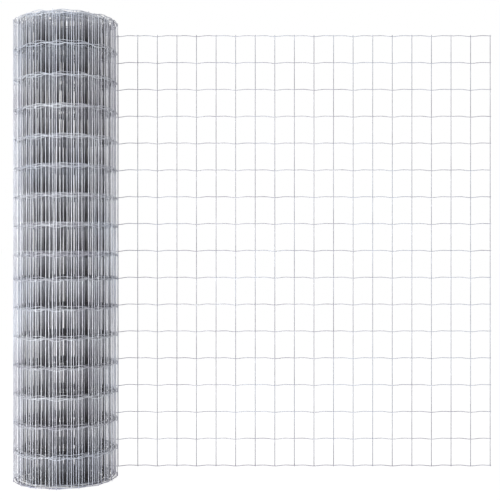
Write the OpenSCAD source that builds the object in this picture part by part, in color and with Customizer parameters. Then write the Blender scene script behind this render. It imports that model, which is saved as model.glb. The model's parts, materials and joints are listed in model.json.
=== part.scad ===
// Roll of welded wire fencing, standing on its end with its free end run out flat.
// Millimetres. Z is the axis of the roll, the floor is at Z = 0, and the free end runs out along X.

/* [Mesh] */
// Diameter of every wire
wire_d = 2.5; // [1.6:0.1:3.5]
// Number of line wires, which run along the fence
line_count = 17; // [4:1:21]
// Height from one line wire to the next
line_pitch = 100; // [50:1:125]
// Distance along the fence from one stay wire to the next
stay_pitch = 73; // [50:1:120]
// How far the stay wires stand past the lowest and highest line wires
stay_end = 4; // [2:0.5:10]
// Depth to which crossing wires sink into each other at a weld
weld_depth = 0.5; // [0.2:0.1:1]

/* [Wave in the line wires] */
// Part of the wave that repeats over two stay wires
wave_long = 1.1; // [0:0.1:3]
// Part of the wave that repeats at every stay wire
wave_short = 0.9; // [0:0.1:3]
// Straight stretches in one wave
wave_steps = 6; // [4:2:12]

/* [Roll] */
// Diameter of the open core
bore_d = 120; // [80:1:200]
// Number of turns
turn_count = 32; // [5:1:40]
// Distance outwards from one turn to the next
turn_pitch = 3.9; // [3:0.1:8]
// Depth of the gaps between the turns on both ends of the roll
turn_gap_depth = 6; // [2:0.5:12]

/* [Free end] */
// Distance from the axis of the roll to the last stay wire
free_reach = 1546; // [400:1:1800]
// How far the line wires run past the last stay wire
line_end = 3; // [2:0.5:10]
// Clearance between the free end and the turn that it leaves
seat_gap = 0.3; // [0.1:0.05:0.5]

/* [Hidden] */

zinc = [0.70, 0.71, 0.73];
round_fn = 180;
wire_fn = 8;

height = (line_count - 1) * line_pitch + 2 * stay_end;
mesh_t = 2 * wire_d - weld_depth;

// Radii, from the core outwards: the bore, the inner turns, the hoops of the last turn
bore_r = bore_d / 2;
inner_turns_r = turn_r(turn_count - 1);
hoop_r = inner_turns_r + wire_d;
outer_r = inner_turns_r + mesh_t;

// The free end is flat, and leaves the last turn on a tangent at the back of the roll
line_y = inner_turns_r;
stay_y = outer_r - wire_d / 2;
leave_r = hoop_r + seat_gap;
leave_x = sqrt(pow(leave_r, 2) - pow(line_y, 2));
free_stays = floor((free_reach - leave_x - wire_d) / stay_pitch) + 1;
wave_step = 2 * stay_pitch / wave_steps;

function turn_r(turn) = bore_r + turn * turn_pitch;
function line_z(line) = stay_end + line * line_pitch;
function stay_x(stay) = free_reach - stay * stay_pitch;

// Height of a line wire above its mean, at x along the free end
function wave(x) =
    let (phase = 180 * (free_reach - x) / stay_pitch)
    wave_long * cos(phase) - wave_short * cos(2 * phase);

// Half of the roll's section: the inner turns, gapped at both ends, and the last turn's hoops
module roll_section() {
    difference() {
        translate([bore_r, 0])
            square([inner_turns_r - bore_r, height]);
        for (turn = [0 : turn_count - 3], end = [0, height])
            translate([turn_r(turn) + wire_d, end - turn_gap_depth])
                square([turn_pitch - wire_d, 2 * turn_gap_depth]);
    }
    for (line = [0 : line_count - 1])
        translate([inner_turns_r - weld_depth, line_z(line) - wire_d / 2])
            square([wire_d + weld_depth, wire_d]);
}

// One line wire of the free end, waving up and down in the plane of the mesh
module line_wire() {
    xs = [free_reach + line_end, for (x = [free_reach : -wave_step : 0]) x];
    upper = [for (x = xs) [x, wave(x) + wire_d / 2]];
    lower = [for (i = [len(xs) - 1 : -1 : 0]) [xs[i], wave(xs[i]) - wire_d / 2]];
    translate([0, line_y + wire_d, 0])
        rotate([90, 0, 0])
            linear_extrude(height = wire_d)
                polygon(concat(upper, lower));
}

module stay_wire() {
    cylinder(d = wire_d, h = height, $fn = wire_fn);
}

module rolled_mesh() {
    color(zinc)
        rotate_extrude($fn = round_fn)
            roll_section();
}

module free_end() {
    color(zinc) {
        difference() {
            for (line = [0 : line_count - 1])
                translate([0, 0, line_z(line)])
                    line_wire();
            cylinder(r = leave_r, h = height, $fn = round_fn);
        }
        for (stay = [0 : free_stays - 1])
            translate([stay_x(stay), stay_y, 0])
                stay_wire();
    }
}

rolled_mesh();
free_end();
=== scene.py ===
"""Looks of a roll of welded wire fencing that stands on its end, with its free end run out flat."""
import json
import math

import bpy
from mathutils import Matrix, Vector


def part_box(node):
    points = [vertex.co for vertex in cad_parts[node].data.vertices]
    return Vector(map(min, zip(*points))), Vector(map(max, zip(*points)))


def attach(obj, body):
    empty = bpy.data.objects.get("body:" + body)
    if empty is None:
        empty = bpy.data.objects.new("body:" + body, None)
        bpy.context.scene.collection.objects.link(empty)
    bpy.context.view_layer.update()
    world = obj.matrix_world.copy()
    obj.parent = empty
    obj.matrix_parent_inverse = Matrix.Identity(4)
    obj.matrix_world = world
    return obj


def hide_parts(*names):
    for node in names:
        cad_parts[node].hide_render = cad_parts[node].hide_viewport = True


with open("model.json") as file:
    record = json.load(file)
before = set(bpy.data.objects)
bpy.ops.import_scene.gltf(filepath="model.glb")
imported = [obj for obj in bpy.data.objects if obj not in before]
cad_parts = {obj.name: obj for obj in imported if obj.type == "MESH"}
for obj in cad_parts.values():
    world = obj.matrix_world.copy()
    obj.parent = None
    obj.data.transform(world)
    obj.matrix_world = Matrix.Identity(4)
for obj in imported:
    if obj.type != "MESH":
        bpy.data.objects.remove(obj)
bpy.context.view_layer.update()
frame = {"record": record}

bl_info = {
    "name": "Roll of Wire Fencing",
    "version": (1, 0, 0),
    "blender": (4, 5, 0),
    "location": "View3D > Sidebar > Fencing",
    "description": "Winds a web of welded wire mesh into a roll and runs its free end out flat",
    "category": "Add Mesh",
}

BODY = "root"
ROLL_NODE = "rolled_mesh"
FREE_NODE = "free_end"

roll_low, roll_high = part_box(ROLL_NODE)
free_low, free_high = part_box(FREE_NODE)
core = next(m for m in frame["record"]["mounts"] if m["name"] == "core_bore")
CORE_RADIUS = core["dims"]["r_mm"] / 1000
HEIGHT = roll_high.z - roll_low.z

# Kinds of socket in the trees
FLOAT = "NodeSocketFloat"
INT = "NodeSocketInt"
SHAPE = "NodeSocketGeometry"
MATERIAL = "NodeSocketMaterial"

# Length on both sides of the roll's end, along the web, over which the unevenness fades out
FADE_LENGTH = 0.35
# Length before the roll's end over which the turns come down to the floor
LANDING_LENGTH = 6 * FADE_LENGTH
# Lengths along the web, or up a stay wire, over which each kind of unevenness changes
RIPPLE_LENGTH = 0.11
LIFT_LENGTH = 0.45
JITTER_LENGTH = 0.16
LEAN_LENGTH = 0.35
# Rows of the noise: the step from wire to wire, the steps before the lowest line wire, and the lift's row
ROW_STEP = 7.31
STEPS_BEFORE_LINES = 2.0
LIFT_ROW = 3.7
# Noise at which a turn stands on the floor, and at which it is lifted all the way
LIFT_NOISE = (-0.22, 0.22)
# Line wires, counted from the floor, between which the sag sets in and fades out again
SAG_FROM = (7.0, 8.0)
SAG_TO = (12.0, 16.0)
# Share of its wave that the lowest line wire loses in the roll, close to the floor
LOWEST_CALM = 0.7
# Turns inside the last one over which the squeeze sets in, and how closely it keeps to the left
SQUEEZE_TURNS = (0.6, 1.1)
SQUEEZE_POWER = 3.0

# How the wound stay wires settle: the step by which they slip, and the gap that needs no more wire
SLIP_STEP = 0.0005
WIDE_GAP = 0.012
# How far round from the middle of the front, in radians, they settle as the camera sees them
FRONT_REACH = 1.15
# Corners between the sides, in degrees, how far round they reach, and how much wider a gap counts there
CORNERS = (45, 135, 225, 315)
CORNER_REACH = 0.6
CORNER_EASE = 1.2

# Turns, counted from the last one inwards, that have the finer line wires, and that have weld spots
FINE_TURNS = 6
WELDED_TURNS = 3
# Turns over which painted shade darkens the line and stay wires with their depth in the roll
LINE_DARK_TURNS = (0.8, 8.0)
STAY_DARK_TURNS = (3.0, 12.0)
# Share of that painted shade that the roll's outermost line wires and the free end's stay wires already
# have
ROLL_LINE_SHADE = 0.2
FREE_STAY_SHADE = 0.38
# How worn the zinc is, from clean to dull, on the wound turns and on the free end
WEAR = {
    ROLL_NODE: {"Least Wear": 0.0, "Most Wear": 0.5},
    FREE_NODE: {"Least Wear": 0.82, "Most Wear": 0.98},
}

# Noise in the zinc, as scale and detail, and the levels of it between which the patches set in
PATCH_NOISE = (9.0, 3.0)
PATCH_EDGE = (0.42, 0.62)
BLUISH_NOISE = (3.2, 2.0)
BLUISH_EDGE = (0.45, 0.68)
BLUISH_SHARE = 0.55
GRAIN_NOISE = (900.0, 2.0)
GRAIN_STRENGTH = 0.25
GRAIN_DEPTH = 0.0004
SPANGLE_SCALE = 160.0
# How far each of these takes the zinc from bright to dull, and how high the dull foot reaches
PATCHES_DULL = 0.2
SPANGLE_DULLS = 0.16
WEAR_DULLS = 0.55
# The zinc also grows duller towards the bottom of each cell between line wires
CELL_BOTTOM_DULLS = 0.12
FOOT_DULLS = 0.6
FOOT_HEIGHT = 0.014
# Painted shade: the colour that wires take deep in the roll, how far they take it, and how much further
# towards the bottom of each cell
PAINTED_SHADE_COLOUR = (0.045, 0.045, 0.05, 1)
PAINTED_SHADE_SHARE = 0.58
CELL_BOTTOM_SHADE = 0.58
# Share of that painted shade that is left at the rim, and how far below the rim it is all there
RIM_SHADE_SHARE = 0.3
RIM_DEPTH = 0.024
# How much of a metal the coat is to the light, and its roughness from smooth to rough patches
METALLIC = 0.4
WIRE_ROUGHNESS = (0.42, 0.62)
WELD_ROUGHNESS = (0.45, 0.65)

# The photograph's frame and the lens that gives it
IMAGE_SIDE = 500
FOCAL_PIXELS = 973
SENSOR_WIDTH = 36
# Floor: its reach each way, its tone, the part of that which the eye doesn't see, and its glow to the
# eye and in metal
FLOOR_REACH = 400.0
FLOOR_TONE = 0.8
FLOOR_UNSEEN = 0.62
FLOOR_GLOW = 0.945
FLOOR_SHEEN = 0.6
# Angle over which a lamp throws its light, so that little of it falls on the floor close by
LAMP_SPREAD = math.radians(105)
# Place and size of each soft lamp, by its side
LAMPS = {
    "left": ((-2.4, -2.3, 0.7), (1.2, 1.3)),
    "right": ((3.2, -1.8, 0.7), (1.2, 1.3)),
    "front": ((-0.6, -4.0, 0.7), (2.2, 1.3)),
    "back": ((-1.4, 3.1, 1.6), (1.2, 2.0)),
}


class FencingSizes(bpy.types.PropertyGroup):
    """Sizes of the mesh and of the way it is wound."""

    wire_d: bpy.props.FloatProperty(
        name="Wire diameter", description="Diameter of every wire",
        default=0.0025, unit="LENGTH", precision=5)
    weld_depth: bpy.props.FloatProperty(
        name="Weld depth", description="How far crossing wires sink into each other at a weld",
        default=0.0005, unit="LENGTH", precision=5)
    line_count: bpy.props.IntProperty(
        name="Line wires", description="Number of wires that run along the fence", default=17)
    stay_end: bpy.props.FloatProperty(
        name="Stay end", description="How far a stay wire stands past the outer line wires",
        default=0.004, unit="LENGTH", precision=4)
    stay_pitch: bpy.props.FloatProperty(
        name="Stay pitch", description="Distance along the fence from one stay wire to the next",
        default=0.073, unit="LENGTH", precision=4)
    line_end: bpy.props.FloatProperty(
        name="Line end", description="How far the line wires run past the last stay wire",
        default=0.003, unit="LENGTH", precision=4)
    stay_trim: bpy.props.FloatProperty(
        name="Stay trim", description="How far the ends of a wound stay wire may be cut short",
        default=0.0012, unit="LENGTH", precision=5)
    weld_size: bpy.props.FloatProperty(
        name="Weld size", description="Radius of a weld spot",
        default=0.00155, unit="LENGTH", precision=5)
    turn_pitch: bpy.props.FloatProperty(
        name="Turn pitch", description="Distance outwards from one turn to the next",
        default=0.0039, unit="LENGTH", precision=5)
    wave_long: bpy.props.FloatProperty(
        name="Long wave", description="Part of the line wires' wave that repeats over two stay wires",
        default=0.0011, unit="LENGTH", precision=5)
    wave_short: bpy.props.FloatProperty(
        name="Short wave", description="Part of the line wires' wave that repeats at every stay wire",
        default=0.0009, unit="LENGTH", precision=5)


class FencingWinding(bpy.types.PropertyGroup):
    """How unevenly the web is wound."""

    wave_gain: bpy.props.FloatProperty(
        name="Wave gain", description="How much stronger the wave is in the wound turns", default=2.7)
    ripple: bpy.props.FloatProperty(
        name="Ripple", description="How far a turn wanders in and out", default=0.0014,
        unit="LENGTH", precision=5)
    lift: bpy.props.FloatProperty(
        name="Lift", description="How far a turn may stand up from the floor", default=0.0105,
        unit="LENGTH", precision=5)
    sag: bpy.props.FloatProperty(
        name="Sag", description="How far the upper line wires have sagged in the wound turns",
        default=0.017, unit="LENGTH", precision=4)
    jitter: bpy.props.FloatProperty(
        name="Jitter", description="How far a line wire wanders up and down by itself",
        default=0.0035, unit="LENGTH", precision=5)
    lean: bpy.props.FloatProperty(
        name="Lean", description="How far a stay wire bends sideways between welds",
        default=0.0045, unit="LENGTH", precision=5)
    slip: bpy.props.FloatProperty(
        name="Slip", description="How far a wound stay wire may slip along the web into a gap",
        default=0.019, unit="LENGTH", precision=4)
    flat_share: bpy.props.FloatProperty(
        name="Flat share", description="Share of the unevenness that is left in the flat free end",
        default=0.1, subtype="FACTOR")
    squeeze: bpy.props.FloatProperty(
        name="Squeeze", description="Gap at the left side between the last turn and those inside it",
        default=0.0012, unit="LENGTH", precision=5)
    seed: bpy.props.IntProperty(
        name="Seed", description="Seed of every random choice", default=4)


class FencingFinish(bpy.types.PropertyGroup):
    """Colours of the zinc coat."""

    bright: bpy.props.FloatVectorProperty(
        name="Bright zinc", description="Colour of clean zinc", subtype="COLOR",
        size=3, default=(0.83, 0.865, 0.915))
    dull: bpy.props.FloatVectorProperty(
        name="Dull zinc", description="Colour of weathered zinc", subtype="COLOR",
        size=3, default=(0.31, 0.285, 0.37))
    cool: bpy.props.FloatVectorProperty(
        name="Cool zinc", description="Colour of the bluish patches", subtype="COLOR",
        size=3, default=(0.615, 0.675, 0.78))
    weld: bpy.props.FloatVectorProperty(
        name="Weld", description="Colour of the weld spots", subtype="COLOR",
        size=3, default=(0.42, 0.42, 0.44))


class FencingStage(bpy.types.PropertyGroup):
    """Camera and light."""

    eye: bpy.props.FloatVectorProperty(
        name="Camera", description="Place of the camera", subtype="TRANSLATION",
        size=3, default=(0.6505, -3.4437, 0.8064))
    left_power: bpy.props.FloatProperty(
        name="Left light", description="Power of the soft light at the left", default=23.5, unit="POWER")
    right_power: bpy.props.FloatProperty(
        name="Right light", description="Power of the soft light at the right", default=5.5, unit="POWER")
    front_power: bpy.props.FloatProperty(
        name="Front light", description="Power of the soft light beside the camera", default=27.5,
        unit="POWER")
    back_power: bpy.props.FloatProperty(
        name="Back light", description="Power of the soft light behind the roll", default=12, unit="POWER")
    sky: bpy.props.FloatProperty(
        name="Room light", description="Strength of the light from all round", default=0.3)


class NodeSheet:
    """A node tree written step by step, where each step gives back its output socket."""

    def __init__(self, tree):
        self.tree = tree

    def add(self, kind, inputs=None, output=0, **settings):
        """Adds a node, sets it and its inputs, and gives one of its outputs."""
        node = self.tree.nodes.new(kind)
        for name, value in settings.items():
            setattr(node, name, value)
        for name, value in (inputs or {}).items():
            self.put(self.find(node, name), value)
        return self.result(node, output)

    def find(self, node, name):
        """Input socket of a node, by its number or its name."""
        if isinstance(name, int):
            return node.inputs[name]
        return next(s for s in node.inputs if s.name == name and s.enabled)

    def result(self, node, output):
        """Output socket of a node, by its name or by its number among those that show."""
        if isinstance(output, str):
            return node.outputs[output]
        shown = [s for s in node.outputs if s.enabled]
        return shown[output] if shown else None

    def put(self, socket, value):
        """Links a socket to another one, or sets its value."""
        if isinstance(value, bpy.types.NodeSocket):
            self.tree.links.new(value, socket)
        else:
            socket.default_value = value

    def maths(self, operation, *values):
        return self.add("ShaderNodeMath", dict(enumerate(values)), operation=operation)

    def plus(self, *values):
        total = values[0]
        for value in values[1:]:
            total = self.maths("ADD", total, value)
        return total

    def times(self, *values):
        total = values[0]
        for value in values[1:]:
            total = self.maths("MULTIPLY", total, value)
        return total

    def minus(self, first, second):
        return self.maths("SUBTRACT", first, second)

    def over(self, first, second):
        return self.maths("DIVIDE", first, second)

    def smooth(self, value, low, high, to_low=0.0, to_high=1.0):
        """Smooth step from one level to another while the value goes from low to high."""
        return self.add(
            "ShaderNodeMapRange",
            {"Value": value, "From Min": low, "From Max": high, "To Min": to_low, "To Max": to_high},
            interpolation_type="SMOOTHSTEP")

    def wander(self, along, row, length):
        """Smooth noise about zero, which changes over that length and from row to row."""
        place = self.add("ShaderNodeCombineXYZ", {"X": self.over(along, length), "Y": row})
        noise = self.add(
            "ShaderNodeTexNoise",
            {"Vector": place, "Scale": 1.0, "Detail": 1.0, "Roughness": 0.5},
            noise_dimensions="2D")
        return self.minus(noise, 0.5)


class ShapeSheet(NodeSheet):
    """A Geometry Nodes tree with named inputs."""

    def __init__(self, name, inputs, outputs):
        super().__init__(bpy.data.node_groups.new(name, "GeometryNodeTree"))
        for label, kind, default in inputs:
            socket = self.tree.interface.new_socket(label, in_out="INPUT", socket_type=kind)
            if default is not None:
                socket.default_value = default
        for label, kind in outputs:
            self.tree.interface.new_socket(label, in_out="OUTPUT", socket_type=kind)
        self.given = self.tree.nodes.new("NodeGroupInput").outputs
        self.final = self.tree.nodes.new("NodeGroupOutput").inputs

    def use(self, tree, inputs, output):
        """Puts a group into the tree and gives one of its outputs."""
        node = self.tree.nodes.new("GeometryNodeGroup")
        node.node_tree = tree
        for name, value in inputs.items():
            self.put(node.inputs[name], value)
        return node.outputs[output]

    def keep(self, shape, name, value, domain="POINT"):
        """Stores a value on a shape, under a name."""
        return self.add(
            "GeometryNodeStoreNamedAttribute",
            {"Geometry": shape, "Name": name, "Value": value},
            data_type="FLOAT", domain=domain)

    def recall(self, name):
        """Reads a stored value back."""
        return self.add("GeometryNodeInputNamedAttribute", {"Name": name}, data_type="FLOAT")

    def straight(self, end, points):
        """Straight curve from the origin, with that many points to bend it at."""
        line = self.add("GeometryNodeCurvePrimitiveLine", {"End": end})
        return self.add("GeometryNodeResampleCurve", {"Curve": line, "Count": points}, mode="COUNT")

    def copies(self, shape, count):
        """Like instances of a shape, all in one place."""
        rows = self.add("GeometryNodeMeshLine", {"Count": count, "Offset": (0, 0, 0)})
        return self.add("GeometryNodeInstanceOnPoints", {"Points": rows, "Instance": shape})

    def number_stays(self):
        """Keeps on each point of the stay wires its way along the web and its number."""
        way = self.add(
            "ShaderNodeSeparateXYZ", {"Vector": self.add("GeometryNodeInputPosition")}, output="X")
        number = self.plus(self.add("GeometryNodeInputIndex"), self.given["First Stay"])
        feet = self.keep(self.given["Stays"], "along", way)
        return self.keep(feet, "stay", number), number

    def weather(self, shape, number, domain="POINT"):
        """Keeps by chance how worn each numbered wire or spot is."""
        limits = {"Min": self.given["Least Wear"], "Max": self.given["Most Wear"]}
        wear = self.add(
            "FunctionNodeRandomValue", {**limits, "ID": number, "Seed": self.given["Seed"]},
            data_type="FLOAT")
        return self.keep(shape, "wear", wear, domain)

    def paint_depth_shade(self, shape, path, along, first, last, least):
        """Keeps the painted shade of a wire for its depth in the roll, from the first turn on to the last.
        """
        turns_in = self.use(path, {"Along": along}, "Turns In")
        return self.keep(shape, "depth", self.smooth(turns_in, first, last, least))

    def stand(self, shape, place, height):
        """Sets each point of a shape to its place on the floor, and up to its height."""
        up = self.add("ShaderNodeCombineXYZ", {"Z": height})
        return self.add("GeometryNodeSetPosition", {"Geometry": shape, "Position": place, "Offset": up})

    def wire(self, curve, diameter, sides):
        """Round wire along a curve, closed at both ends."""
        ring = self.add(
            "GeometryNodeCurvePrimitiveCircle",
            {"Resolution": sides, "Radius": self.over(diameter, 2.0)}, mode="RADIUS")
        return self.add(
            "GeometryNodeCurveToMesh", {"Curve": curve, "Profile Curve": ring, "Fill Caps": True})

    def close(self, shape, material):
        """Ends the tree with a smooth, real shape in its material."""
        smooth = self.add("GeometryNodeSetShadeSmooth", {"Geometry": shape})
        real = self.add("GeometryNodeRealizeInstances", {"Geometry": smooth})
        done = self.add("GeometryNodeSetMaterial", {"Geometry": real, "Material": material})
        self.put(self.final["Geometry"], done)


def line_pitch(sizes):
    """Height from one line wire to the next."""
    return (HEIGHT - 2 * sizes.stay_end) / (sizes.line_count - 1)


class Web:
    """Where the web of mesh runs: wound from the core outwards, then straight along the free end."""

    def __init__(self, scene):
        sizes = scene.fencing_sizes
        self.inner_r = CORE_RADIUS + sizes.wire_d / 2
        self.outer_r = free_low.y + sizes.wire_d / 2
        self.pitch = sizes.turn_pitch
        self.wound = math.pi * (self.outer_r ** 2 - self.inner_r ** 2) / self.pitch
        free_reach = free_high.x - sizes.line_end
        self.last_stay = self.wound + free_reach
        self.end = self.wound + free_high.x
        stays = int(self.last_stay / sizes.stay_pitch)
        self.free_stays = int((free_reach - CORE_RADIUS) / sizes.stay_pitch) + 1
        eye = scene.fencing_stage.eye
        # The camera's side first, and then the right, the back and the left
        self.eye_angles = (math.atan2(eye[1], eye[0]), 0.0, math.pi / 2, math.pi)
        self.corner_angles = tuple(math.radians(corner) for corner in CORNERS)
        self.eye_distance = math.hypot(eye[0], eye[1])
        even = [self.last_stay - stay * sizes.stay_pitch for stay in range(stays)]
        self.stay_alongs = even[:self.free_stays]
        self.stay_alongs += self.settle(even[self.free_stays:], scene.fencing_winding.slip)

    def along_at_turn(self, turns_in):
        """How far along the web a point is that lies that many turns inside the last one."""
        radius = self.outer_r - turns_in * self.pitch
        return math.pi * (radius ** 2 - self.inner_r ** 2) / self.pitch

    def turns_in(self, along):
        """How many turns inside the last one a wound point lies."""
        radius = math.sqrt(self.inner_r ** 2 + along * self.pitch / math.pi)
        return (self.outer_r - radius) / self.pitch

    def facing(self, along):
        """Sides that a wound point faces, and how far off the middle it shows from each of them."""
        turns_in = self.turns_in(along)
        radius = self.outer_r - turns_in * self.pitch
        angle = turns_in * math.tau + math.pi / 2

        def off(eye):
            return abs(math.remainder(angle - eye, math.tau))

        front, *others = self.eye_angles
        sides = [front if off(front) < FRONT_REACH else min(others, key=off)]
        sides += [corner for corner in self.corner_angles if off(corner) < CORNER_REACH]
        middles = {}
        for side in sides:
            nearer = 1 - radius * math.cos(angle - side) / self.eye_distance
            middles[side] = radius * math.sin(angle - side) / nearer
        return middles

    def settle(self, alongs, reach):
        """Slips each stay wire inside the last turn along the web, into the widest gap that is left."""
        settled = []
        seen = {side: [] for side in self.eye_angles + self.corner_angles}
        for even in alongs:
            loose = min(max(self.turns_in(even) - 1, 0), 1)
            steps = int(reach * loose / SLIP_STEP)
            best_room = -1.0
            for step in sorted(range(-steps, steps + 1), key=abs):
                along = max(even + step * SLIP_STEP, SLIP_STEP)
                middles = self.facing(along)
                room = WIDE_GAP
                for side, middle in middles.items():
                    ease = CORNER_EASE if side in self.corner_angles else 1.0
                    room = min([room, *(ease * abs(middle - other) for other in seen[side])])
                if room > best_room:
                    best_room = room
                    best = along, middles
            settled.append(best[0])
            for side, middle in best[1].items():
                seen[side].append(middle)
        return settled


def uneven_tree(scene, web):
    """Group that tells how uneven the web may be: fully in the roll, hardly in the free end."""
    sheet = ShapeSheet("Unevenness", [("Along", FLOAT, 0.0)], [("Share", FLOAT)])
    share = sheet.smooth(
        sheet.given["Along"], web.wound - FADE_LENGTH, web.wound + FADE_LENGTH,
        1.0, scene.fencing_winding.flat_share)
    sheet.put(sheet.final["Share"], share)
    return sheet.tree


def path_tree(scene, web, uneven):
    """Group that gives the place of a point along the web, at Z = 0."""
    winding = scene.fencing_winding
    sheet = ShapeSheet(
        "Web path",
        [("Along", FLOAT, 0.0), ("Outward", FLOAT, 0.0), ("Inner Radius", FLOAT, web.inner_r),
         ("Outer Radius", FLOAT, web.outer_r), ("Turn Pitch", FLOAT, web.pitch),
         ("Ripple", FLOAT, winding.ripple), ("Squeeze", FLOAT, winding.squeeze)],
        [("Place", "NodeSocketVector"), ("Turns In", FLOAT)])
    given = sheet.given
    along = given["Along"]
    wound = sheet.maths("MINIMUM", along, web.wound)
    inner_square = sheet.maths("POWER", given["Inner Radius"], 2.0)
    grown = sheet.over(sheet.times(wound, given["Turn Pitch"]), math.pi)
    radius = sheet.maths("SQRT", sheet.plus(inner_square, grown))
    turns_in = sheet.over(sheet.minus(given["Outer Radius"], radius), given["Turn Pitch"])
    angle_in = sheet.times(turns_in, math.tau)
    share = sheet.use(uneven, {"Along": along}, "Share")
    ripple = sheet.times(sheet.wander(along, 0.0, RIPPLE_LENGTH), given["Ripple"], share)
    leftward = sheet.maths("MAXIMUM", sheet.maths("SINE", angle_in), 0.0)
    left = sheet.maths("POWER", leftward, SQUEEZE_POWER)
    inside = sheet.smooth(turns_in, *SQUEEZE_TURNS)
    turns = (web.outer_r - web.inner_r) / web.pitch
    from_core = sheet.minus(1.0, sheet.over(turns_in, turns))
    squeeze = sheet.times(left, inside, from_core, given["Squeeze"])
    reach = sheet.minus(sheet.plus(radius, ripple, given["Outward"]), squeeze)
    angle = sheet.plus(angle_in, math.pi / 2)
    straight = sheet.maths("MAXIMUM", sheet.minus(along, web.wound), 0.0)
    place = sheet.add("ShaderNodeCombineXYZ", {
        "X": sheet.plus(sheet.times(reach, sheet.maths("COSINE", angle)), straight),
        "Y": sheet.times(reach, sheet.maths("SINE", angle))})
    sheet.put(sheet.final["Place"], place)
    sheet.put(sheet.final["Turns In"], turns_in)
    return sheet.tree


def lift_tree(scene, web):
    """Group that gives how far the web has wandered up or down while it was wound."""
    sheet = ShapeSheet(
        "Web lift", [("Along", FLOAT, 0.0), ("Lift", FLOAT, scene.fencing_winding.lift)],
        [("Height", FLOAT)])
    along = sheet.given["Along"]
    wound = sheet.smooth(along, web.wound - LANDING_LENGTH, web.wound, 1.0, 0.0)
    drift = sheet.smooth(sheet.wander(along, LIFT_ROW, LIFT_LENGTH), *LIFT_NOISE)
    sheet.put(sheet.final["Height"], sheet.times(drift, sheet.given["Lift"], wound))
    return sheet.tree


def height_tree(scene, web, uneven, lift):
    """Group that gives the height of a line wire at a point along the web."""
    sizes = scene.fencing_sizes
    winding = scene.fencing_winding
    sheet = ShapeSheet(
        "Line height",
        [("Along", FLOAT, 0.0), ("Line", FLOAT, 0.0), ("First Line", FLOAT, sizes.stay_end),
         ("Line Pitch", FLOAT, line_pitch(sizes)), ("Stay Pitch", FLOAT, sizes.stay_pitch),
         ("Long Wave", FLOAT, sizes.wave_long), ("Short Wave", FLOAT, sizes.wave_short),
         ("Wave Gain", FLOAT, winding.wave_gain), ("Jitter", FLOAT, winding.jitter),
         ("Sag", FLOAT, winding.sag)],
        [("Height", FLOAT)])
    given = sheet.given
    along = given["Along"]
    back = sheet.minus(web.last_stay, along)
    phase = sheet.times(sheet.over(back, given["Stay Pitch"]), math.pi)
    long_wave = sheet.times(sheet.maths("COSINE", phase), given["Long Wave"])
    short_wave = sheet.times(sheet.maths("COSINE", sheet.times(phase, 2.0)), given["Short Wave"])
    share = sheet.use(uneven, {"Along": along}, "Share")
    gain = sheet.plus(sheet.times(sheet.minus(given["Wave Gain"], 1.0), share), 1.0)
    lowest = sheet.smooth(given["Line"], 0.0, 1.0, 1.0, 0.0)
    kept = sheet.minus(1.0, sheet.times(lowest, share, LOWEST_CALM))
    wave = sheet.times(sheet.minus(long_wave, short_wave), gain, kept)
    row = sheet.times(sheet.plus(given["Line"], STEPS_BEFORE_LINES), ROW_STEP)
    jitter = sheet.times(sheet.wander(along, row, JITTER_LENGTH), given["Jitter"], share)
    level = sheet.plus(given["First Line"], sheet.times(given["Line"], given["Line Pitch"]))
    drift = sheet.use(lift, {"Along": along}, "Height")
    sagged = sheet.times(
        sheet.smooth(given["Line"], *SAG_FROM), sheet.smooth(given["Line"], *SAG_TO, 1.0, 0.0),
        sheet.smooth(along, web.wound - FADE_LENGTH, web.wound, 1.0, 0.0), given["Sag"])
    height = sheet.minus(sheet.plus(level, wave, jitter, drift), sagged)
    sheet.put(sheet.final["Height"], sheet.maths("MAXIMUM", height, sizes.wire_d / 2))
    return sheet.tree


def lean_tree(scene, uneven):
    """Group that gives how far along the web a stay wire is at some height, as it isn't quite straight."""
    sheet = ShapeSheet(
        "Stay lean",
        [("Along", FLOAT, 0.0), ("Stay", FLOAT, 0.0), ("Height", FLOAT, 0.0),
         ("Lean", FLOAT, scene.fencing_winding.lean)],
        [("Along", FLOAT)])
    given = sheet.given
    row = sheet.times(given["Stay"], ROW_STEP)
    share = sheet.use(uneven, {"Along": given["Along"]}, "Share")
    bend = sheet.times(sheet.wander(given["Height"], row, LEAN_LENGTH), given["Lean"], share)
    sheet.put(sheet.final["Along"], sheet.plus(given["Along"], bend))
    return sheet.tree


def build_groups(scene, web):
    """Groups that the trees of wires and welds share."""
    uneven = uneven_tree(scene, web)
    lift = lift_tree(scene, web)
    return {
        "path": path_tree(scene, web, uneven),
        "lift": lift,
        "height": height_tree(scene, web, uneven, lift),
        "lean": lean_tree(scene, uneven),
    }


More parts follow.
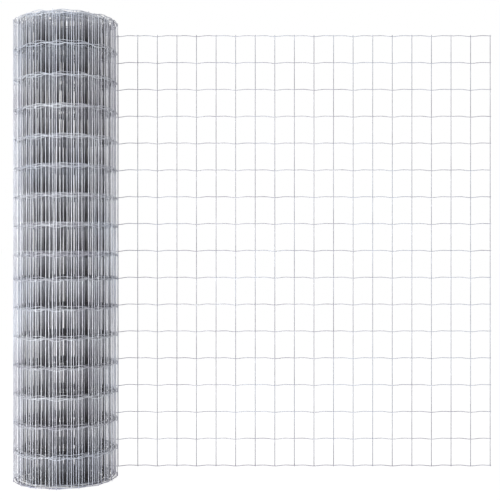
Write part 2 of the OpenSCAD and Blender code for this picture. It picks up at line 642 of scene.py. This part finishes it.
def line_wire_tree(scene, groups):
    """Tree of the line wires between two points along the web."""
    sizes = scene.fencing_sizes
    sheet = ShapeSheet(
        "Line wires",
        [("From Along", FLOAT, 0.0), ("To Along", FLOAT, 1.0), ("Points", INT, 100),
         ("Sides", INT, 8), ("Lines", INT, sizes.line_count),
         ("Wire Diameter", FLOAT, sizes.wire_d), ("Seed", INT, scene.fencing_winding.seed),
         ("Least Wear", FLOAT, 0.0), ("Most Wear", FLOAT, 1.0), ("Shade", FLOAT, 0.0),
         ("Material", MATERIAL, None)],
        [("Geometry", SHAPE)])
    given = sheet.given
    curve = sheet.straight((1, 0, 0), given["Points"])
    share = sheet.add("GeometryNodeSplineParameter", output="Factor")
    along = sheet.plus(
        given["From Along"],
        sheet.times(share, sheet.minus(given["To Along"], given["From Along"])))
    curve = sheet.keep(curve, "along", along)
    curve = sheet.paint_depth_shade(curve, groups["path"], along, *LINE_DARK_TURNS, given["Shade"])
    rows = sheet.copies(curve, given["Lines"])
    number = sheet.add("GeometryNodeInputIndex")
    rows = sheet.keep(rows, "line", number, "INSTANCE")
    rows = sheet.weather(rows, number, "INSTANCE")
    wires = sheet.add("GeometryNodeRealizeInstances", {"Geometry": rows})
    along = sheet.recall("along")
    place = sheet.use(groups["path"], {"Along": along}, "Place")
    height = sheet.use(groups["height"], {"Along": along, "Line": sheet.recall("line")}, "Height")
    wires = sheet.stand(wires, place, height)
    sheet.close(sheet.wire(wires, given["Wire Diameter"], given["Sides"]), given["Material"])
    return sheet.tree


def stay_inputs(scene):
    """Inputs of what sits at the stay wires, which come in as points with their way along the web as X."""
    sizes = scene.fencing_sizes
    return [
        ("Stays", SHAPE, None), ("First Stay", INT, 0),
        ("Wire Diameter", FLOAT, sizes.wire_d),
        ("Weld Depth", FLOAT, sizes.weld_depth), ("Seed", INT, scene.fencing_winding.seed),
        ("Least Wear", FLOAT, 0.0), ("Most Wear", FLOAT, 1.0),
        ("Material", MATERIAL, None)]


def stay_wire_tree(scene, groups):
    """Tree of the stay wires, on the outer side of the line wires."""
    sizes = scene.fencing_sizes
    sheet = ShapeSheet(
        "Stay wires",
        [*stay_inputs(scene), ("Points", INT, 34), ("Sides", INT, 6), ("Height", FLOAT, HEIGHT),
         ("Trim", FLOAT, sizes.stay_trim), ("Shade", FLOAT, 0.0)],
        [("Geometry", SHAPE)])
    given = sheet.given
    feet, number = sheet.number_stays()
    feet = sheet.paint_depth_shade(
        feet, groups["path"], sheet.recall("along"), *STAY_DARK_TURNS, given["Shade"])
    feet = sheet.weather(feet, number)
    post = sheet.straight((0, 0, 1), given["Points"])
    posts = sheet.add("GeometryNodeInstanceOnPoints", {"Points": feet, "Instance": post})
    wires = sheet.add("GeometryNodeRealizeInstances", {"Geometry": posts})
    along = sheet.recall("along")
    stay = sheet.recall("stay")
    lift = sheet.use(groups["lift"], {"Along": along}, "Height")
    cut = sheet.times(sheet.recall("wear"), given["Trim"])
    foot = sheet.plus(lift, cut)
    head = sheet.minus(sheet.plus(lift, given["Height"]), cut)
    share = sheet.add("GeometryNodeSplineParameter", output="Factor")
    height = sheet.plus(foot, sheet.times(share, sheet.minus(head, foot)))
    leant = sheet.use(groups["lean"], {"Along": along, "Stay": stay, "Height": height}, "Along")
    outward = sheet.minus(given["Wire Diameter"], given["Weld Depth"])
    place = sheet.use(groups["path"], {"Along": leant, "Outward": outward}, "Place")
    wires = sheet.stand(wires, place, height)
    sheet.close(sheet.wire(wires, given["Wire Diameter"], given["Sides"]), given["Material"])
    return sheet.tree


def weld_tree(scene, groups):
    """Tree of the weld spots, one where each stay wire crosses each line wire."""
    sizes = scene.fencing_sizes
    sheet = ShapeSheet(
        "Weld spots",
        [*stay_inputs(scene), ("Lines", INT, sizes.line_count), ("Spot Size", FLOAT, sizes.weld_size)],
        [("Geometry", SHAPE)])
    given = sheet.given
    feet, _ = sheet.number_stays()
    rows = sheet.add("GeometryNodeMeshLine", {"Count": given["Lines"], "Offset": (0, 0, 0)})
    rows = sheet.keep(rows, "line", sheet.add("GeometryNodeInputIndex"))
    columns = sheet.add("GeometryNodeInstanceOnPoints", {"Points": feet, "Instance": rows})
    crossings = sheet.add("GeometryNodeRealizeInstances", {"Geometry": columns})
    along = sheet.recall("along")
    height = sheet.use(groups["height"], {"Along": along, "Line": sheet.recall("line")}, "Height")
    leant = sheet.use(
        groups["lean"], {"Along": along, "Stay": sheet.recall("stay"), "Height": height}, "Along")
    between = sheet.over(sheet.minus(given["Wire Diameter"], given["Weld Depth"]), 2.0)
    place = sheet.use(groups["path"], {"Along": leant, "Outward": between}, "Place")
    crossings = sheet.stand(crossings, place, height)
    crossings = sheet.weather(crossings, sheet.add("GeometryNodeInputIndex"))
    spot = sheet.add(
        "GeometryNodeMeshUVSphere", {"Segments": 6, "Rings": 4, "Radius": given["Spot Size"]})
    spots = sheet.add("GeometryNodeInstanceOnPoints", {"Points": crossings, "Instance": spot})
    sheet.close(spots, given["Material"])
    return sheet.tree


def zinc_material(name, sizes, bright, dull, cool, roughness):
    """Galvanised coat: mottled zinc, a little different from wire to wire, with a fine uneven surface, and
    painted shade on the wires deep in the roll.
    """
    material = bpy.data.materials.new(name)
    material.use_nodes = True
    material.node_tree.nodes.clear()
    sheet = NodeSheet(material.node_tree)
    place = sheet.add("ShaderNodeTexCoord", output="Object")
    wear = sheet.add("ShaderNodeAttribute", output="Fac", attribute_name="wear")
    depth = sheet.add("ShaderNodeAttribute", output="Fac", attribute_name="depth")

    def mottle(scale, detail):
        return sheet.add(
            "ShaderNodeTexNoise", {"Vector": place, "Scale": scale, "Detail": detail, "Roughness": 0.6})

    def blend(factor, first, second):
        return sheet.add(
            "ShaderNodeMix", {"Factor": factor, "A": first, "B": second}, data_type="RGBA")

    patches = sheet.smooth(mottle(*PATCH_NOISE), *PATCH_EDGE)
    spangle = sheet.add(
        "ShaderNodeTexVoronoi", {"Vector": place, "Scale": SPANGLE_SCALE}, output="Color", feature="F1")
    flake = sheet.add("ShaderNodeSeparateColor", {"Color": spangle}, output="Red")
    bluish = sheet.smooth(mottle(*BLUISH_NOISE), *BLUISH_EDGE)
    height = sheet.add("ShaderNodeSeparateXYZ", {"Vector": place}, output="Z")
    # Darker towards the bottom of each cell between line wires: duller zinc, and more of the painted shade
    # deep in the roll
    above = sheet.minus(height, sizes.stay_end)
    in_cell = sheet.maths("FRACT", sheet.over(above, line_pitch(sizes)))
    low_in_cell = sheet.minus(1.0, in_cell)
    dulled = sheet.plus(
        sheet.times(patches, PATCHES_DULL), sheet.times(flake, SPANGLE_DULLS),
        sheet.times(wear, WEAR_DULLS), sheet.times(low_in_cell, CELL_BOTTOM_DULLS),
        sheet.smooth(height, 0.0, FOOT_HEIGHT, FOOT_DULLS, 0.0))
    colour = blend(dulled, (*bright, 1), (*dull, 1))
    colour = blend(sheet.times(bluish, BLUISH_SHARE), colour, (*cool, 1))
    # Painted shade: wires deep in the roll blend towards a dark colour, with less of it at the rim and
    # more towards the bottom of each cell
    below_rim = sheet.minus(HEIGHT, height)
    inside = sheet.smooth(below_rim, 0.0, RIM_DEPTH, RIM_SHADE_SHARE, 1.0)
    shade = sheet.plus(sheet.times(low_in_cell, CELL_BOTTOM_SHADE), PAINTED_SHADE_SHARE)
    colour = blend(sheet.times(depth, inside, shade), colour, PAINTED_SHADE_COLOUR)
    smoothest, roughest = roughness
    rough = sheet.add("ShaderNodeMapRange", {
        "Value": sheet.plus(sheet.times(patches, 0.5), sheet.times(flake, 0.5)),
        "To Min": smoothest, "To Max": roughest})
    relief = mottle(*GRAIN_NOISE)
    grain = sheet.add(
        "ShaderNodeBump", {"Strength": GRAIN_STRENGTH, "Distance": GRAIN_DEPTH, "Height": relief},
        output="Normal")
    surface = sheet.add("ShaderNodeBsdfPrincipled", {
        "Base Color": colour, "Roughness": rough, "Metallic": METALLIC, "Normal": grain})
    sheet.add("ShaderNodeOutputMaterial", {"Surface": surface})
    return material


def wire_material(scene):
    """Zinc coat of the wires."""
    name = "galvanised_wire"
    finish = scene.fencing_finish
    return bpy.data.materials.get(name) or zinc_material(
        name, scene.fencing_sizes, finish.bright, finish.dull, finish.cool, WIRE_ROUGHNESS)


def weld_material(scene):
    """Zinc coat of the weld spots, without bluish patches."""
    name = "galvanised_weld"
    finish = scene.fencing_finish
    return bpy.data.materials.get(name) or zinc_material(
        name, scene.fencing_sizes, finish.weld, finish.dull, finish.weld, WELD_ROUGHNESS)


def grow(name, tree, values, node, alongs=()):
    """Evaluates a tree once on points along the web, and lets the plain mesh stand for the CAD node."""
    points = bpy.data.meshes.new(name)
    points.from_pydata([(along, 0, 0) for along in alongs], [], [])
    piece = bpy.data.objects.new(name, points)
    bpy.context.scene.collection.objects.link(piece)
    modifier = piece.modifiers.new(tree.name, "NODES")
    modifier.node_group = tree
    sockets = {s.name: s.identifier for s in tree.interface.items_tree if s.in_out == "INPUT"}
    for label, value in values.items():
        modifier[sockets[label]] = value
    graph = bpy.context.evaluated_depsgraph_get()
    made = bpy.data.meshes.new_from_object(
        piece.evaluated_get(graph), preserve_all_data_layers=True, depsgraph=graph)
    piece.modifiers.remove(modifier)
    piece.data = made
    bpy.data.meshes.remove(points)
    made.name = name
    if not made.polygons:
        raise RuntimeError(f"{name} came out empty")
    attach(piece, BODY)
    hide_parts(node)


class FencingOperator:
    """What the operators that make wires and welds share."""

    bl_options = {"REGISTER", "UNDO"}

    def shapes(self, context):
        """The scene, the web in it, and the groups that follow that web."""
        web = Web(context.scene)
        return context.scene, web, build_groups(context.scene, web)


class FENCING_OT_line_wires(FencingOperator, bpy.types.Operator):
    """Run the line wires along the wound turns and the free end"""

    bl_idname = "fencing.line_wires"
    bl_label = "Line Wires"

    def execute(self, context):
        scene, web, groups = self.shapes(context)
        tree = line_wire_tree(scene, groups)
        middle = web.along_at_turn(FINE_TURNS)
        # Name, start and end along the web, length of a straight step, sides, shade and CAD node
        stretches = (
            ("line_wires_inner_turns", 0.0, middle, 0.016, 5, ROLL_LINE_SHADE, ROLL_NODE),
            ("line_wires_outer_turns", middle, web.wound, 0.011, 6, ROLL_LINE_SHADE, ROLL_NODE),
            ("line_wires_free_end", web.wound, web.end, 0.007, 8, 0.0, FREE_NODE),
        )
        for name, start, end, step, sides, shade, node in stretches:
            grow(name, tree, {
                "From Along": start, "To Along": end, "Points": round((end - start) / step) + 1,
                "Sides": sides, "Shade": shade, **WEAR[node], "Material": wire_material(scene)}, node)
        return {"FINISHED"}


class FENCING_OT_stay_wires(FencingOperator, bpy.types.Operator):
    """Set the upright stay wires on the wound turns and the free end"""

    bl_idname = "fencing.stay_wires"
    bl_label = "Stay Wires"

    def execute(self, context):
        scene, web, groups = self.shapes(context)
        tree = stay_wire_tree(scene, groups)
        first = web.free_stays
        grow("stay_wires_roll", tree, {
            "First Stay": first, "Points": 34, "Sides": 6, **WEAR[ROLL_NODE],
            "Material": wire_material(scene)}, ROLL_NODE, web.stay_alongs[first:])
        grow("stay_wires_free_end", tree, {
            "Points": 50, "Sides": 8, "Trim": 0.0, "Shade": FREE_STAY_SHADE, **WEAR[FREE_NODE],
            "Material": wire_material(scene)}, FREE_NODE, web.stay_alongs[:first])
        return {"FINISHED"}


class FENCING_OT_welds(FencingOperator, bpy.types.Operator):
    """Put a weld spot on the crossings of the free end and of the turns that show"""

    bl_idname = "fencing.welds"
    bl_label = "Weld Spots"

    def execute(self, context):
        scene, web, groups = self.shapes(context)
        tree = weld_tree(scene, groups)
        first = web.free_stays
        inmost = web.along_at_turn(WELDED_TURNS)
        shown = [along for along in web.stay_alongs[first:] if along > inmost]
        grow("welds_outer_turns", tree, {
            "First Stay": first, "Material": weld_material(scene)}, ROLL_NODE, shown)
        grow("welds_free_end", tree, {
            "Material": weld_material(scene)}, FREE_NODE, web.stay_alongs[:first])
        return {"FINISHED"}


def make_room(stage):
    """White all round to the eye and in metal, with less light on the object."""
    world = bpy.data.worlds.new("studio")
    bpy.context.scene.world = world
    world.use_nodes = True
    world.node_tree.nodes.clear()
    sheet = NodeSheet(world.node_tree)
    rays = world.node_tree.nodes.new("ShaderNodeLightPath").outputs
    shown = sheet.maths("MAXIMUM", rays["Is Camera Ray"], rays["Is Transmission Ray"])
    shown = sheet.maths("MAXIMUM", shown, rays["Is Glossy Ray"])
    strength = sheet.plus(sheet.times(shown, 1.0 - stage.sky), stage.sky)
    light = sheet.add("ShaderNodeBackground", {"Color": (1, 1, 1, 1), "Strength": strength})
    sheet.add("ShaderNodeOutputWorld", {"Surface": light})


def make_floor():
    """Paper floor, shown near white to the eye all round the roll but not under it."""
    corners = [
        (x * FLOOR_REACH, y * FLOOR_REACH, 0) for x, y in ((-1, -1), (1, -1), (1, 1), (-1, 1))]
    mesh = bpy.data.meshes.new("floor")
    mesh.from_pydata(corners, [], [(0, 1, 2, 3)])
    floor = bpy.data.objects.new("floor", mesh)
    bpy.context.scene.collection.objects.link(floor)
    material = bpy.data.materials.new("floor_paper")
    material.use_nodes = True
    material.node_tree.nodes.clear()
    sheet = NodeSheet(material.node_tree)
    rays = material.node_tree.nodes.new("ShaderNodeLightPath").outputs
    seen = sheet.maths("MAXIMUM", rays["Is Camera Ray"], rays["Is Transmission Ray"])
    tone = sheet.minus(FLOOR_TONE, sheet.times(seen, FLOOR_UNSEEN))
    paper = sheet.add("ShaderNodeBsdfDiffuse", {"Color": tone})
    place = sheet.add("ShaderNodeTexCoord", output="Object")
    away = sheet.add("ShaderNodeVectorMath", {0: place}, output="Value", operation="LENGTH")
    pale = sheet.times(sheet.smooth(away, CORE_RADIUS, roll_high.x), FLOOR_GLOW)
    strength = sheet.plus(sheet.times(seen, pale), sheet.times(rays["Is Glossy Ray"], FLOOR_SHEEN))
    lifted = sheet.add("ShaderNodeEmission", {"Color": (1, 1, 1, 1), "Strength": strength})
    surface = sheet.add("ShaderNodeAddShader", {0: paper, 1: lifted})
    sheet.add("ShaderNodeOutputMaterial", {"Surface": surface})
    mesh.materials.append(material)


def make_lamp(name, place, target, size, power):
    """Soft lamp that lights the object but doesn't show itself in a view."""
    lamp = bpy.data.lights.new(name, "AREA")
    lamp.shape = "RECTANGLE"
    lamp.size, lamp.size_y = size
    lamp.spread = LAMP_SPREAD
    lamp.energy = power
    holder = bpy.data.objects.new(name, lamp)
    holder.visible_camera = False
    holder.location = place
    holder.rotation_euler = (Vector(target) - Vector(place)).to_track_quat("-Z", "Y").to_euler()
    bpy.context.scene.collection.objects.link(holder)


def make_camera(stage):
    """Level camera with the photograph's field of view."""
    data = bpy.data.cameras.new("camera")
    data.sensor_width = SENSOR_WIDTH
    data.lens = FOCAL_PIXELS / IMAGE_SIDE * SENSOR_WIDTH
    camera = bpy.data.objects.new("camera", data)
    camera.location = stage.eye
    camera.rotation_euler = (math.pi / 2, 0, 0)
    bpy.context.scene.collection.objects.link(camera)
    bpy.context.scene.camera = camera


class FENCING_OT_stage(bpy.types.Operator):
    """Set up the floor, the light and the camera"""

    bl_idname = "fencing.stage"
    bl_label = "Stage"
    bl_options = {"REGISTER", "UNDO"}

    def execute(self, context):
        stage = context.scene.fencing_stage
        context.scene.view_settings.view_transform = "Standard"
        make_room(stage)
        make_floor()
        middle = (0.0, 0.0, HEIGHT / 2)
        for side, (place, size) in LAMPS.items():
            make_lamp(f"{side}_light", place, middle, size, getattr(stage, f"{side}_power"))
        make_camera(stage)
        return {"FINISHED"}


class FENCING_PT_panel(bpy.types.Panel):
    """Lists the steps and the sizes"""

    bl_idname = "FENCING_PT_panel"
    bl_label = "Roll of Fencing"
    bl_space_type = "VIEW_3D"
    bl_region_type = "UI"
    bl_category = "Fencing"

    def draw(self, context):
        for operator in OPERATORS:
            self.layout.operator(operator.bl_idname)
        for name in GROUPS:
            box = self.layout.box()
            settings = getattr(context.scene, name)
            for label in settings.__annotations__:
                box.prop(settings, label)


GROUPS = {
    "fencing_sizes": FencingSizes,
    "fencing_winding": FencingWinding,
    "fencing_finish": FencingFinish,
    "fencing_stage": FencingStage,
}
OPERATORS = (FENCING_OT_line_wires, FENCING_OT_stay_wires, FENCING_OT_welds, FENCING_OT_stage)


def register():
    for name, group in GROUPS.items():
        bpy.utils.register_class(group)
        setattr(bpy.types.Scene, name, bpy.props.PointerProperty(type=group))
    for operator in OPERATORS:
        bpy.utils.register_class(operator)
    bpy.utils.register_class(FENCING_PT_panel)


def unregister():
    bpy.utils.unregister_class(FENCING_PT_panel)
    for operator in reversed(OPERATORS):
        bpy.utils.unregister_class(operator)
    for name, group in reversed(GROUPS.items()):
        delattr(bpy.types.Scene, name)
        bpy.utils.unregister_class(group)


def main():
    register()
    bpy.ops.fencing.line_wires()
    bpy.ops.fencing.stay_wires()
    bpy.ops.fencing.welds()
    bpy.ops.fencing.stage()


if __name__ == "__main__":
    main()
